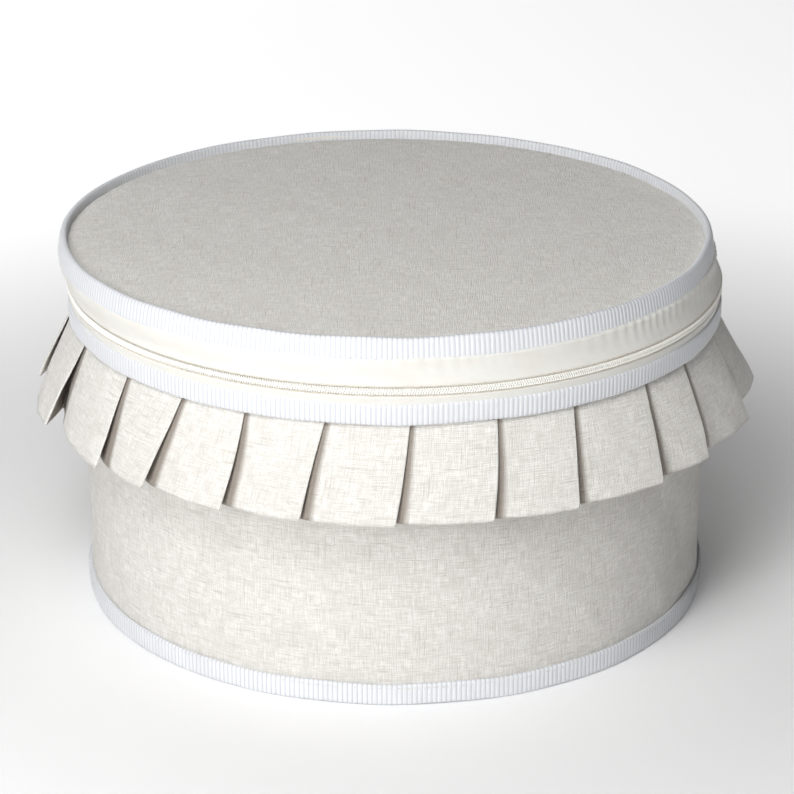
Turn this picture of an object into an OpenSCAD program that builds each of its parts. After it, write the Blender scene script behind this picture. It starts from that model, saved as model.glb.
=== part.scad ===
// Round zip-around hat box: linen-covered board, ribbed ribbon bindings, a zip round
// the rim, a lid on a cloth hinge at the back and a pleated skirt under the zip.
// Millimetres, +Z up. The origin is the middle of the underside. The front faces -Y,
// and angles round the case are measured from the front, positive towards +X.

/* [Case] */
// Outer diameter of the cloth-covered wall
wall_d = 226; // [190:1:250]
// Overall height with the lid closed
case_h = 135; // [125:1:160]
// From the top of the lid down to the middle of the zip
zip_drop = 18.2; // [17.5:0.1:22]

/* [Cloth and board] */
// Thickness of the outer linen with its interlining
linen_t = 1.2; // [0.8:0.1:1.5]
// Thickness of the stiffening board
board_t = 2.4; // [1.5:0.1:3]
// Thickness of the cotton lining
lining_t = 0.8; // [0.5:0.1:1]
// Thickness of the tape that covers the inner seams
seam_tape_t = 0.6; // [0.4:0.1:0.8]
// Width of each leg of the inner seam tape
seam_tape_w = 9; // [6:0.5:12]

/* [Bindings] */
// Radial width of the two rim bindings
binding_w = 3.3; // [3.2:0.1:3.6]
// Height of the two rim bindings
binding_h = 7.4; // [7:0.1:8]
// Height of the bottom binding
bottom_binding_h = 8; // [6:0.5:10]
// Radius of the cord inside each rim binding
piping_r = 1.1; // [0.9:0.05:1.15]

/* [Zip] */
// Thickness of the zip tape
tape_t = 0.8; // [0.6:0.05:0.9]
// Height of one row of the coil
coil_h = 1.05; // [0.8:0.05:1.2]
// How far the coil stands out from the tape
coil_t = 1.1; // [0.9:0.05:1.15]
// Gap between the two rows, where the slider's post runs
coil_gap = 0.8; // [0.7:0.05:1]
// Angle from the front to each end of the zip
zip_end_angle = 164; // [160:1:166]
// Angle from the front to the slider at each end of its travel
park_angle = 158; // [154:1:158]

/* [Hinge] */
// Angle that the cloth hinge spans at the back
hinge_span = 26; // [16:1:27]

/* [Skirt] */
// Height of the pleated skirt below its binding
skirt_drop = 31; // [24:1:36]
// Radius of the hem beyond the wall
skirt_flare = 20; // [12:1:24]
// Radial depth of the pleats
skirt_t = 3.2; // [2:0.1:4]

/* [Slider] */
// Length of the slider along the zip
slider_len = 11; // [9:0.5:11]
// Height of the slider across the zip
slider_h = 8; // [7.4:0.1:8]
// Length of the pull from its pin to its tip
pull_len = 15; // [12:0.5:15]
// Width of the pull
pull_w = 7; // [6:0.5:9]

/* [Hidden] */
$fn = 96;
eps = 0.05;
wall_r = wall_d / 2;
board_r = wall_r - linen_t;
lining_r = board_r - board_t;
inner_r = lining_r - lining_t;
base_floor_z = linen_t + 0.9;

// Rim bindings: inner face, middle of the cord and outer face
heading_t = 1.6;
binding_r0 = wall_r + heading_t + 0.1;
rim_r = binding_r0 + binding_w;
cord_r = binding_r0 + binding_w / 2;
tape_r1 = rim_r - 1;
tape_r0 = tape_r1 - tape_t;
slot_gap = 0.3;
binding_round = 1.2;
cord_inset = binding_h - 5.3;

// Heights round the zip
zip_z = case_h - zip_drop;
rim_top_z = zip_z - 4.5;
rim_bottom_z = rim_top_z - binding_h;
lid_edge_z = case_h - binding_h;
panel_top_z = case_h - 2.2;
lid_board_z = panel_top_z - linen_t - board_t;
lid_lining_z = lid_board_z - lining_t;
wall_top_z = rim_top_z - 0.8;
tape_tuck = 3.8;

// Ends of the lid's row, the notch over each parking place and the stops
lid_row_angle = park_angle - 6;
notch_top_z = zip_z + slider_h / 2 + 0.6;
stop_angle = 1.3;

// Slider: planes measured outwards from the middle of the case
plate_t = 1.2;
outer_plate_r = tape_r1 + coil_t + 0.3;
inner_plate_r = tape_r0 - 0.4;
post_t = 0.5;
post_w = 2.4;
pin_r = 0.6;
pin_clear = 0.08;
eye_r = 1.5;
eye_len = 5;
pivot_r = outer_plate_r + plate_t + eye_r + 0.3;
pivot_z = zip_z + 0.4;
pull_t = 1.2;

// A rectangle in the section plane, from radius r0 to r1 and from height z0 to z1
module band(r0, r1, z0, z1) {
    translate([r0, z0]) square([r1 - r0, z1 - z0]);
}

// The same rectangle with its four corners rounded
module round_band(r0, r1, z0, z1, c) {
    band(r0 + c, r1 - c, z0, z1);
    band(r0, r1, z0 + c, z1 - c);
    for (r = [r0 + c, r1 - c], z = [z0 + c, z1 - c])
        translate([r, z]) circle(c, $fn = 32);
}

// Sweeps a section round the front, to the same angle on each side
module around_front(half_angle) {
    rotate([0, 0, -90 - half_angle]) rotate_extrude(angle = 2 * half_angle) children();
}

// Sweeps a section round the back
module around_back(half_angle) {
    rotate([0, 0, 90 - half_angle]) rotate_extrude(angle = 2 * half_angle) children();
}

// Turns a child built at the front to an angle round the case
module at_angle(a) {
    rotate([0, 0, a]) children();
}

// A ribbon folded round a cord, with a slot for the zip tape from one side
module folded_ribbon(z0, z1, cord_z, slot_z0, slot_z1) {
    rotate_extrude() difference() {
        round_band(binding_r0, rim_r, z0, z1, binding_round);
        translate([cord_r, cord_z]) circle(piping_r + eps, $fn = 48);
        band(tape_r0 - slot_gap, tape_r1 + slot_gap, slot_z0, slot_z1);
    }
}

module piping(cord_z) {
    rotate_extrude() translate([cord_r, cord_z]) circle(piping_r, $fn = 48);
}

module bottom_panel() {
    color("wheat") rotate_extrude() {
        band(0, wall_r - 6.6, 0, base_floor_z);
        band(0, board_r - 0.2, 0.95, base_floor_z);
    }
}

module bottom_board() {
    color("tan") rotate_extrude()
        band(0, inner_r - 0.1, base_floor_z, base_floor_z + board_t);
}

module bottom_lining() {
    z0 = base_floor_z + board_t;
    color("ivory") rotate_extrude() band(0, inner_r - 0.1, z0, z0 + lining_t);
}

module bottom_seam_tape() {
    z0 = base_floor_z + board_t + lining_t;
    r1 = inner_r - 0.1;
    color("white") rotate_extrude() {
        band(r1 - seam_tape_w, r1, z0, z0 + seam_tape_t);
        band(r1 - seam_tape_t, r1, z0, z0 + seam_tape_w);
    }
}

module bottom_binding() {
    outer_r = wall_r + 1.5;
    color("white") rotate_extrude() difference() {
        round_band(wall_r - 6.5, outer_r, 0, bottom_binding_h, 0.45);
        band(wall_r - 7, wall_r + eps, 0.9, bottom_binding_h + 1);
    }
}

module wall_linen() {
    color("linen") rotate_extrude() band(board_r, wall_r, base_floor_z, wall_top_z);
}

module wall_board() {
    color("tan") rotate_extrude() band(lining_r, board_r, base_floor_z, wall_top_z);
}

module wall_lining() {
    color("ivory") rotate_extrude() band(inner_r, lining_r, base_floor_z, wall_top_z);
}

// Radius of the skirt's outside at a fraction of its drop
function skirt_r(t) =
    let (r0 = wall_r + heading_t + 2.2, r1 = wall_r + skirt_flare)
    r0 + (r1 - r0) * pow(t, 1.08);

module skirt() {
    steps = 6;
    z0 = rim_bottom_z - 0.2;
    fall = [for (i = [0 : steps]) i / steps];
    outside = [for (t = fall) [skirt_r(t), z0 - t * skirt_drop]];
    inside = [for (i = [steps : -1 : 1]) [skirt_r(fall[i]) - skirt_t, z0 - fall[i] * skirt_drop]];
    heading = [[wall_r + eps, z0 - 2], [wall_r + eps, wall_top_z], [wall_r + heading_t, wall_top_z],
        [wall_r + heading_t, z0]];
    color("linen") rotate_extrude() polygon(concat(outside, inside, heading));
}

module rim_binding() {
    color("white") folded_ribbon(rim_bottom_z, rim_top_z, rim_bottom_z + cord_inset,
        rim_bottom_z + cord_inset, rim_top_z + 1);
}

module rim_piping() {
    color("ivory") piping(rim_bottom_z + cord_inset);
}

module rim_seam_tape() {
    r0 = inner_r - seam_tape_t;
    color("white") rotate_extrude() {
        band(r0, inner_r, rim_top_z - seam_tape_w, rim_top_z - 0.1);
        band(r0, wall_r + heading_t, wall_top_z + 0.1, rim_top_z - 0.1);
    }
}

module base_zip_tape() {
    color("cornsilk") around_front(zip_end_angle)
        band(tape_r0, tape_r1, rim_top_z - tape_tuck, zip_z - coil_gap / 2);
}

module base_zip_coil() {
    z1 = zip_z - coil_gap / 2;
    color("bisque") around_front(zip_end_angle - 1)
        band(tape_r1 + eps, tape_r1 + coil_t, z1 - coil_h, z1);
}

// Metal stops in a pair, one at each end of a row
module row_stops(a, z0) {
    for (side = [-1, 1])
        at_angle(side * a) rotate([0, 0, -90 - stop_angle / 2])
            rotate_extrude(angle = stop_angle)
                band(tape_r1 + eps, tape_r1 + coil_t, z0, z0 + coil_h);
}

module base_zip_stops() {
    color("silver") row_stops(zip_end_angle - 0.2, zip_z - coil_gap / 2 - coil_h);
}

module lid_zip_stops() {
    color("silver") row_stops(lid_row_angle - 0.2, zip_z + coil_gap / 2);
}

module zip_end_tabs() {
    tab_angle = 2;
    color("linen") for (side = [-1, 1])
        at_angle(side * (zip_end_angle - 0.5)) rotate([0, 0, -90 - tab_angle / 2])
            rotate_extrude(angle = tab_angle)
                band(tape_r1 + eps, tape_r1 + 0.8, rim_top_z + 0.1, zip_z - coil_gap / 2 - coil_h - 0.1);
}

module hinge_panel() {
    color("linen") around_back(hinge_span / 2)
        band(tape_r0, tape_r1, rim_top_z - tape_tuck, lid_edge_z + tape_tuck);
}

module lid_top_panel() {
    color("linen") rotate_extrude()
        band(0, binding_r0 - 0.1, panel_top_z - linen_t, panel_top_z);
}

module lid_board() {
    color("tan") rotate_extrude()
        band(0, binding_r0 - 0.1, lid_board_z, lid_board_z + board_t);
}

module lid_lining() {
    color("ivory") rotate_extrude()
        band(0, binding_r0 - 0.1, lid_lining_z, lid_board_z);
}

module lid_seam_tape() {
    r1 = binding_r0 - 0.1;
    color("white") rotate_extrude() {
        band(r1 - seam_tape_w, r1, lid_lining_z - seam_tape_t, lid_lining_z);
        band(r1 - seam_tape_t, r1, notch_top_z + 1, lid_lining_z);
    }
}

module lid_binding() {
    color("white") folded_ribbon(lid_edge_z, case_h, case_h - cord_inset,
        lid_edge_z - 1, case_h - cord_inset);
}

module lid_piping() {
    color("ivory") piping(case_h - cord_inset);
}

module lid_zip_tape() {
    notch_angle = zip_end_angle - lid_row_angle + 2;
    color("cornsilk") difference() {
        around_front(zip_end_angle)
            band(tape_r0, tape_r1, zip_z + coil_gap / 2, lid_edge_z + tape_tuck);
        for (side = [-1, 1])
            at_angle(side * (lid_row_angle + notch_angle / 2)) rotate([0, 0, -90 - notch_angle / 2])
                rotate_extrude(angle = notch_angle)
                    band(tape_r0 - 1, tape_r1 + 1, zip_z, notch_top_z);
    }
}

module lid_zip_coil() {
    z0 = zip_z + coil_gap / 2;
    color("bisque") around_front(lid_row_angle - 1)
        band(tape_r1 + eps, tape_r1 + coil_t, z0, z0 + coil_h);
}

// Places a child drawn in the front's tangent plane: X along the zip, Y outwards, Z up
module at_slider() {
    at_angle(park_angle) mirror([0, 1, 0]) children();
}

// A plate in the slider's own plane, with a wide mouth and a narrower tail
module slider_plate(r0, r1) {
    mouth_h = slider_h;
    tail_h = slider_h - 1.6;
    corner = 1.5;
    translate([0, r1, zip_z]) rotate([90, 0, 0]) linear_extrude(r1 - r0) {
        translate([-slider_len / 2 + corner, -tail_h / 2]) square([slider_len - 2 * corner, tail_h]);
        translate([-slider_len / 2, -tail_h / 2 + corner]) square([slider_len, tail_h - 2 * corner]);
        translate([0, -mouth_h / 2]) square([slider_len / 2 - corner, mouth_h]);
        for (z = [-1, 1]) {
            translate([-slider_len / 2 + corner, z * (tail_h / 2 - corner)]) circle(corner, $fn = 32);
            translate([slider_len / 2 - corner, z * (mouth_h / 2 - corner)]) circle(corner, $fn = 32);
        }
    }
}

module slider_body() {
    flange_t = 0.8;
    flange_len = slider_len - 4;
    color("silver") at_slider() {
        slider_plate(outer_plate_r, outer_plate_r + plate_t);
        slider_plate(inner_plate_r - plate_t, inner_plate_r);
        translate([-post_w / 2, inner_plate_r - eps, zip_z - post_t / 2])
            cube([post_w, outer_plate_r - inner_plate_r + 2 * eps, post_t]);
        for (z = [zip_z - slider_h / 2 + flange_t, zip_z + slider_h / 2 - 2 * flange_t])
            translate([-flange_len / 2, tape_r1 + 0.25, z])
                cube([flange_len, outer_plate_r - tape_r1, flange_t]);
    }
}

module slider_bail() {
    foot_w = 1;
    foot_h = 2 * pin_r + 0.4;
    span = eye_len + 1.4;
    plate_out_r = outer_plate_r + plate_t;
    color("silver") at_slider() {
        translate([-span / 2 - foot_w, pivot_r, pivot_z]) rotate([0, 90, 0])
            cylinder(r = pin_r, h = span + 2 * foot_w, $fn = 32);
        for (x = [-span / 2 - foot_w, span / 2])
            translate([x, plate_out_r, pivot_z - foot_h / 2])
                cube([foot_w, pivot_r - plate_out_r + pin_r + 0.2, foot_h]);
    }
}

module pull_tab() {
    neck_w = eye_len - 0.4;
    neck_h = 4;
    tip_r = pull_w / 2;
    color("silver") at_slider() difference() {
        union() {
            translate([-eye_len / 2, pivot_r, pivot_z]) rotate([0, 90, 0])
                cylinder(r = eye_r, h = eye_len, $fn = 48);
            translate([-neck_w / 2, pivot_r - pull_t / 2, pivot_z - neck_h])
                cube([neck_w, pull_t, neck_h]);
            translate([-pull_w / 2, pivot_r - pull_t / 2, pivot_z - pull_len + tip_r])
                cube([pull_w, pull_t, pull_len - tip_r - neck_h + 1]);
            translate([0, pivot_r + pull_t / 2, pivot_z - pull_len + tip_r]) rotate([90, 0, 0])
                cylinder(r = tip_r, h = pull_t, $fn = 48);
        }
        translate([-eye_len, pivot_r, pivot_z]) rotate([0, 90, 0])
            cylinder(r = pin_r + pin_clear, h = 2 * eye_len, $fn = 48);
    }
}

bottom_panel();
bottom_board();
bottom_lining();
bottom_seam_tape();
bottom_binding();
wall_linen();
wall_board();
wall_lining();
skirt();
rim_binding();
rim_piping();
rim_seam_tape();
base_zip_tape();
base_zip_coil();
base_zip_stops();
zip_end_tabs();
hinge_panel();
lid_top_panel();
lid_board();
lid_lining();
lid_seam_tape();
lid_binding();
lid_piping();
lid_zip_tape();
lid_zip_coil();
lid_zip_stops();
slider_body();
slider_bail();
pull_tab();
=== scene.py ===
"""A round zip-around hat box in linen, with ribbed ribbon edges and a pleated skirt under its zip.

Metres, +Z up, the front faces -Y. Angles round the case are measured from the front, positive towards +X.
"""
import math

import bpy
import numpy as np
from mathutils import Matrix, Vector


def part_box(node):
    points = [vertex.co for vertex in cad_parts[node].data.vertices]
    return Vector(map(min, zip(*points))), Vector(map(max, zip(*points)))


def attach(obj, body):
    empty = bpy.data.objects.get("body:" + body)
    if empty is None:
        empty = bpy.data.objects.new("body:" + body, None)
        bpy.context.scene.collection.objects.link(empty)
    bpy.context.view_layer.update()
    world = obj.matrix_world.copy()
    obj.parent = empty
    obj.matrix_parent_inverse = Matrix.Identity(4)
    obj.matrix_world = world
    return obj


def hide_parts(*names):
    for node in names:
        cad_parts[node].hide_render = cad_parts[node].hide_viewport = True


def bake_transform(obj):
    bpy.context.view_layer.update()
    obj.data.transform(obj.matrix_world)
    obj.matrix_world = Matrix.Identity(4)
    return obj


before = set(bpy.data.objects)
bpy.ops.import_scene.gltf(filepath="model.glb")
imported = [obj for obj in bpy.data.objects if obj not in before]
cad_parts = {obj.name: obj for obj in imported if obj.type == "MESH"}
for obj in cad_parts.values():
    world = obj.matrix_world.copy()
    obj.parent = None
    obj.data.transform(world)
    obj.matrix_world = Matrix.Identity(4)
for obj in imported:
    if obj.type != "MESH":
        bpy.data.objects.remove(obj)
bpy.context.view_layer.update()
MM = 0.001


# ---------------------------------------------------------------- sizes, from the frame

def low(node):
    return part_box(node)[0]


def high(node):
    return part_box(node)[1]


CASE_H = high("lid_binding").z
WALL_R = high("wall_linen").x
INNER_R = high("bottom_lining").x
RIM_R = high("rim_binding").x
TAPE_R = high("hinge_panel").y
HEADING_R = high("lid_top_panel").x
LID_EDGE_Z = low("lid_binding").z
PANEL_TOP_Z = high("lid_top_panel").z
LID_LINING_Z = low("lid_lining").z
RIM_TOP_Z = high("rim_binding").z
RIM_LOW_Z = low("rim_binding").z
ZIP_Z = (high("base_zip_coil").z + low("lid_zip_coil").z) / 2
HEM_Z = low("skirt").z
HEM_R = high("skirt").x
BOTTOM_BINDING_H = high("bottom_binding").z
BOTTOM_BINDING_R = high("bottom_binding").x
FLOOR_LINING_Z = high("bottom_lining").z

# Angles from the front: the ends of the zip's tapes and of the lid's coil, and the tabs over the zip's ends.
ZIP_END = math.radians(167.5)
LID_ROW_END = math.radians(151)
TAB_ANGLE = math.radians(163.5)
HINGE_HALF = math.radians(15.4)
LID_LEAN = 3.1 * MM
RIB_PITCH = 1.7 * MM
THREAD_SIDES = 6


# ---------------------------------------------------------------- mesh tools

def ripple(a, s, seed, waves=(2, 24), runs=(0, 90)):
    """Smooth random waves of about +-1 that close round the case: a is the angle, s a length in metres."""
    count = 16
    rng = np.random.default_rng(seed)
    total = np.zeros(np.broadcast(a, s).shape)
    for _ in range(count):
        k = int(rng.integers(waves[0], waves[1] + 1))
        total = total + rng.uniform(0.5, 1) * np.sin(
            k * a + rng.uniform(*runs) * s * 2 * math.pi + rng.uniform(0, 2 * math.pi))
    return total / math.sqrt(count)


def at(a, r, z):
    """Points at angle a, radius r and height z."""
    a, r, z = np.broadcast_arrays(a, r, z)
    return np.stack([r * np.sin(a), -r * np.cos(a), z], axis=-1)


def lean(points):
    """The soft lid sits a little to one side of the base."""
    share = np.clip((points[..., 2] - ZIP_Z) / (LID_EDGE_Z - ZIP_Z), 0, 1)
    points[..., 0] -= LID_LEAN * share * share * (3 - 2 * share)
    return points


def lean_piece(obj):
    """Gives a finished piece of the lid the same lean."""
    points = np.array([v.co for v in obj.data.vertices])
    obj.data.vertices.foreach_set("co", lean(points).ravel())


def build(name, verts, faces, uvs=None):
    mesh = bpy.data.meshes.new(name)
    mesh.from_pydata(verts.reshape(-1, 3).tolist(), [], faces)
    mesh.polygons.foreach_set("use_smooth", np.ones(len(mesh.polygons), bool))
    if uvs is not None:
        layer = mesh.uv_layers.new(name="cloth")
        layer.data.foreach_set("uv", np.asarray(uvs, np.float32).ravel())
    mesh.update()
    obj = bpy.data.objects.new(name, mesh)
    bpy.context.scene.collection.objects.link(obj)
    return obj


def grid(name, points, uv, wrap_u=False, wrap_v=False, flip=False):
    """A mesh over points (columns, rows, 3). uv has one more column or row where the grid closes."""
    nu, nv = points.shape[:2]
    across = np.arange(nu if wrap_u else nu - 1)
    along = np.arange(nv if wrap_v else nv - 1)
    i, j = np.meshgrid(across, along, indexing="ij")
    i, j = i.ravel(), j.ravel()
    corners = [(i, j), (i + 1, j), (i + 1, j + 1), (i, j + 1)]
    if flip:
        corners.reverse()
    faces = np.stack([(ci % nu) * nv + cj % nv for ci, cj in corners], axis=1)
    uvs = np.stack([uv[ci, cj] for ci, cj in corners], axis=1)
    return build(name, points, faces.tolist(), uvs)


def section_length(r, z):
    """Length along a section, from its first point, closed back to it."""
    steps = np.hypot(np.diff(np.append(r, r[0])), np.diff(np.append(z, z[0])))
    return np.concatenate([[0], np.cumsum(steps)])


def ring(name, r, z, columns, shape=None, along=None):
    """A closed section (r, z) swept all round.

    shape(a, r, z) may move the points, and along(a) is how far the cloth has run by angle a.
    """
    if np.sum(r * np.roll(z, -1) - np.roll(r, -1) * z) < 0:
        r, z = r[::-1], z[::-1]
    a = np.linspace(0, 2 * math.pi, columns, endpoint=False)[:, None]
    rr, zz = np.broadcast_to(r, (columns, len(r))), np.broadcast_to(z, (columns, len(z)))
    if shape:
        rr, zz = shape(a, rr, zz)
    u = np.linspace(0, 2 * math.pi, columns + 1)[:, None]
    u = along(u) if along else u * max(r)
    uv = np.stack(np.broadcast_arrays(u, section_length(r, z)[None, :]), axis=-1)
    return grid(name, at(a, rr, zz), uv, wrap_u=True, wrap_v=True)


def disc(name, radius, height, rings, columns, up=True):
    """A round sheet. height(a, r) gives its level."""
    r = np.linspace(0, radius, rings + 1)[1:]
    a = np.linspace(0, 2 * math.pi, columns, endpoint=False)
    aa, rr = np.meshgrid(a, r, indexing="ij")
    points = at(aa, rr, height(aa, rr)).reshape(-1, 3)
    centre = at(0.0, 0.0, height(np.zeros(1), np.zeros(1))).reshape(1, 3)
    verts = np.vstack([points, centre])
    faces = []
    for i in range(columns):
        here, beside = i * rings, (i + 1) % columns * rings
        faces.append([len(points), here, beside])
        faces += [[here + j, here + j + 1, beside + j + 1, beside + j] for j in range(rings - 1)]
    if not up:
        faces = [f[::-1] for f in faces]
    uvs = np.concatenate([verts[f, :2] for f in faces])
    return build(name, verts, faces, uvs)


def tube(name, path, across, out, width, depth):
    """A thread along a path: across and out are unit vectors at each point, width and depth half sizes."""
    turn = np.linspace(0, 2 * math.pi, THREAD_SIDES, endpoint=False)[None, :, None]
    points = (path[:, None, :] + np.cos(turn) * across[:, None, :] * np.reshape(width, (-1, 1, 1))
              + np.sin(turn) * out[:, None, :] * np.reshape(depth, (-1, 1, 1)))
    steps = np.linalg.norm(np.diff(path, axis=0), axis=1)
    run = np.concatenate([[0], np.cumsum(steps)])
    girth = np.linspace(0, 2 * math.pi, THREAD_SIDES + 1) * 0.3 * MM
    uv = np.stack(np.meshgrid(run, girth, indexing="ij"), axis=-1)
    return grid(name, points, uv, wrap_v=True)


def stitches(name, r, z):
    """A line of machine stitches all round the case: each one dips into the cloth at both ends."""
    length, gap, thick = 2.4 * MM, 0.7 * MM, 0.13 * MM
    rings = 5
    count = int(2 * math.pi / ((length + gap) / r))
    share = np.linspace(-0.5, 0.5, rings)
    starts = (np.arange(count) + 0.5) * (2 * math.pi) / count
    a = starts[:, None] + share[None, :] * length / r
    sink = (1 - np.cos(share * math.pi)) * thick * 1.2
    swell = np.maximum(np.cos(share * math.pi), 0.25)[None, :, None, None]
    turn = np.linspace(0, 2 * math.pi, THREAD_SIDES, endpoint=False)[:, None]
    path = at(a, np.broadcast_to(r - sink[None, :], a.shape), z)
    out = at(a, 1.0, 0.0)
    rise = np.broadcast_to(np.array([0, 0, 1.0]), out.shape)
    points = (path[:, :, None, :] + (np.cos(turn) * thick) * swell * out[:, :, None, :]
              + (np.sin(turn) * thick) * swell * rise[:, :, None, :])
    faces = []
    for first in range(0, count * rings * THREAD_SIDES, rings * THREAD_SIDES):
        last = first + (rings - 1) * THREAD_SIDES
        for here in range(first, last, THREAD_SIDES):
            there = here + THREAD_SIDES
            for q in range(THREAD_SIDES):
                n = (q + 1) % THREAD_SIDES
                faces.append([here + q, here + n, there + n, there + q])
        faces.append([first + q for q in range(THREAD_SIDES)][::-1])
        faces.append([last + q for q in range(THREAD_SIDES)])
    return build(name, points, faces)


def thicken(obj, thickness, group=None):
    """Gives a sheet its thickness, inwards. Outside the group of vertices it is half as thick."""
    solid = obj.modifiers.new("Thickness", "SOLIDIFY")
    solid.thickness = thickness
    solid.offset = -1
    solid.use_even_offset = False
    if group:
        solid.vertex_group = group
        solid.thickness_vertex_group = 0.5
    return obj


def finish_piece(obj, body, material, slot, *nodes):
    """Gives a piece its material and body, and hides the CAD nodes it stands for. The slot is not used."""
    obj.data.materials.append(material)
    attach(obj, body)
    if nodes:
        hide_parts(*nodes)
    return obj


# ---------------------------------------------------------------- materials

class Tree:
    """Short calls for building a material's nodes."""

    def __init__(self, name, color, roughness):
        self.material = bpy.data.materials.new(name)
        self.material.use_nodes = True
        self.nodes = self.material.node_tree.nodes
        self.links = self.material.node_tree.links
        self.shader = next(n for n in self.nodes if n.type == "BSDF_PRINCIPLED")
        self.set(self.shader, {"Base Color": (*color, 1), "Roughness": roughness})

    def set(self, node, inputs):
        for key, value in inputs.items():
            socket = node.inputs[key]
            if isinstance(value, bpy.types.NodeSocket):
                self.links.new(value, socket)
            else:
                socket.default_value = value

    def add(self, kind, inputs=None, **props):
        node = self.nodes.new(kind)
        for key, value in props.items():
            setattr(node, key, value)
        self.set(node, inputs or {})
        return node

    def math(self, operation, a, b=0.0):
        return self.add("ShaderNodeMath", {0: a, 1: b}, operation=operation).outputs[0]

    def scaled(self, vector, x, y, z=1.0):
        return self.add("ShaderNodeVectorMath", {0: vector, 1: (x, y, z)}, operation="MULTIPLY").outputs[0]

    def noise(self, vector, scale=1.0, detail=2.0, roughness=0.5):
        return self.add("ShaderNodeTexNoise", {
            "Vector": vector, "Scale": scale, "Detail": detail, "Roughness": roughness}).outputs["Fac"]

    def step(self, value, low_edge, high_edge, low_value=0.0, high_value=1.0):
        return self.add("ShaderNodeMapRange", {
            "Value": value, "From Min": low_edge, "From Max": high_edge,
            "To Min": low_value, "To Max": high_value}, interpolation_type="SMOOTHSTEP").outputs[0]

    def mix(self, factor, a, b):
        node = self.add("ShaderNodeMix", data_type="RGBA")
        for index, value in ((0, factor), (6, a), (7, b)):
            if isinstance(value, bpy.types.NodeSocket):
                self.links.new(value, node.inputs[index])
            else:
                node.inputs[index].default_value = value if index == 0 else (*value, 1)
        return node.outputs[2]

    def feed(self, socket, value):
        """Joins a node's output to one of the shader's own sockets."""
        self.links.new(value, self.shader.inputs[socket])

    def bump(self, height, distance, strength):
        bump = self.add("ShaderNodeBump", {"Height": height, "Distance": distance, "Strength": strength})
        self.feed("Normal", bump.outputs[0])

    def cloth_uv(self):
        return self.add("ShaderNodeUVMap", uv_map="cloth").outputs[0]

    def plain_weave(self, uv, pitch, wander):
        """Height of a plain weave: threads pass over and under each other, and wander a little."""
        drift = {"Vector": uv, "Scale": 1 / (3 * MM), "Detail": 2.0}
        shift = self.add("ShaderNodeTexNoise", drift).outputs["Color"]
        moved = self.add("ShaderNodeVectorMath", {0: shift, 1: (wander, wander, 0), 2: uv},
                         operation="MULTIPLY_ADD")
        xyz = self.add("ShaderNodeSeparateXYZ", {0: moved.outputs[0]})
        across = self.math("SINE", self.math("MULTIPLY", xyz.outputs[0], math.pi / pitch))
        along = self.math("SINE", self.math("MULTIPLY", xyz.outputs[1], math.pi / pitch))
        over = self.step(self.math("MULTIPLY", across, along), -0.35, 0.35)
        warp = self.math("ABSOLUTE", across)
        weft = self.math("ABSOLUTE", along)
        return self.math("ADD", self.math("MULTIPLY", over, warp),
                         self.math("MULTIPLY", self.math("SUBTRACT", 1.0, over), weft))


def linen(name, tone):
    """Pale slubby linen. Where a fold hides it, the point attribute tuck mixes in a painted shade."""
    pale, mid, flax, dark = (tuple(tone * c for c in color) for color in (
        (0.97, 0.955, 0.915), (0.77, 0.745, 0.70), (0.60, 0.55, 0.475), (0.36, 0.31, 0.26)))
    # Painted shade: the dark brown mixed in where a fold hides the cloth.
    hidden = (0.25, 0.205, 0.165)
    tree = Tree(name, pale, 0.92)
    uv = tree.cloth_uv()
    weave = tree.plain_weave(uv, 0.6 * MM, 0.9 * MM)
    weft = tree.noise(tree.scaled(uv, 1 / (6 * MM), 1 / (0.42 * MM)), detail=3.0, roughness=0.6)
    warp = tree.noise(tree.scaled(uv, 1 / (0.42 * MM), 1 / (6 * MM)), detail=3.0, roughness=0.6)
    weft_slub = tree.noise(tree.scaled(uv, 1 / (16 * MM), 1 / (0.8 * MM)), detail=2.0)
    warp_slub = tree.noise(tree.scaled(uv, 1 / (0.8 * MM), 1 / (16 * MM)), detail=2.0)
    cloud = tree.noise(uv, 1 / (14 * MM), 4.0, 0.6)
    mottle = tree.noise(tree.scaled(uv, 1 / (3.6 * MM), 1 / (2.4 * MM)), detail=2.0)
    speck = tree.noise(tree.scaled(uv, 1 / (1.6 * MM), 1 / (0.9 * MM)), detail=1.0)
    grain = tree.math("ADD", weft, warp)
    threads = tree.mix(tree.step(grain, 0.80, 1.22), pale, mid)
    slub = tree.math("MAXIMUM", tree.step(weft_slub, 0.60, 0.72), tree.step(warp_slub, 0.61, 0.73))
    threads = tree.mix(tree.math("MULTIPLY", slub, 0.4), threads, flax)
    threads = tree.mix(tree.step(cloud, 0.42, 0.72, 0, 0.4), threads, mid)
    threads = tree.mix(tree.step(mottle, 0.44, 0.66, 0, 0.36), threads, mid)
    flecks = tree.mix(tree.step(speck, 0.72, 0.79, 0, 0.45), threads, dark)
    gaps = tree.mix(tree.step(weave, 0.05, 0.6, 0.28, 0.0), flecks, flax)
    # The tuck attribute says how strongly this painted shade darkens each point.
    tuck = tree.add("ShaderNodeAttribute", attribute_name="tuck").outputs["Fac"]
    shade = tree.mix(tree.math("MULTIPLY", tuck, 0.86), gaps, hidden)
    tree.feed("Base Color", shade)
    thread_h = tree.math("ADD", weave, tree.math("MULTIPLY", slub, 0.8))
    tree.bump(tree.math("ADD", thread_h, tree.math("MULTIPLY", grain, 1.6)), 0.17 * MM, 0.9)
    tree.feed("Roughness", tree.step(slub, 0, 1, 0.95, 0.84))
    tree.set(tree.shader, {"Sheen Weight": 0.15, "Sheen Roughness": 0.6, "Specular IOR Level": 0.2})
    return tree.material


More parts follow.
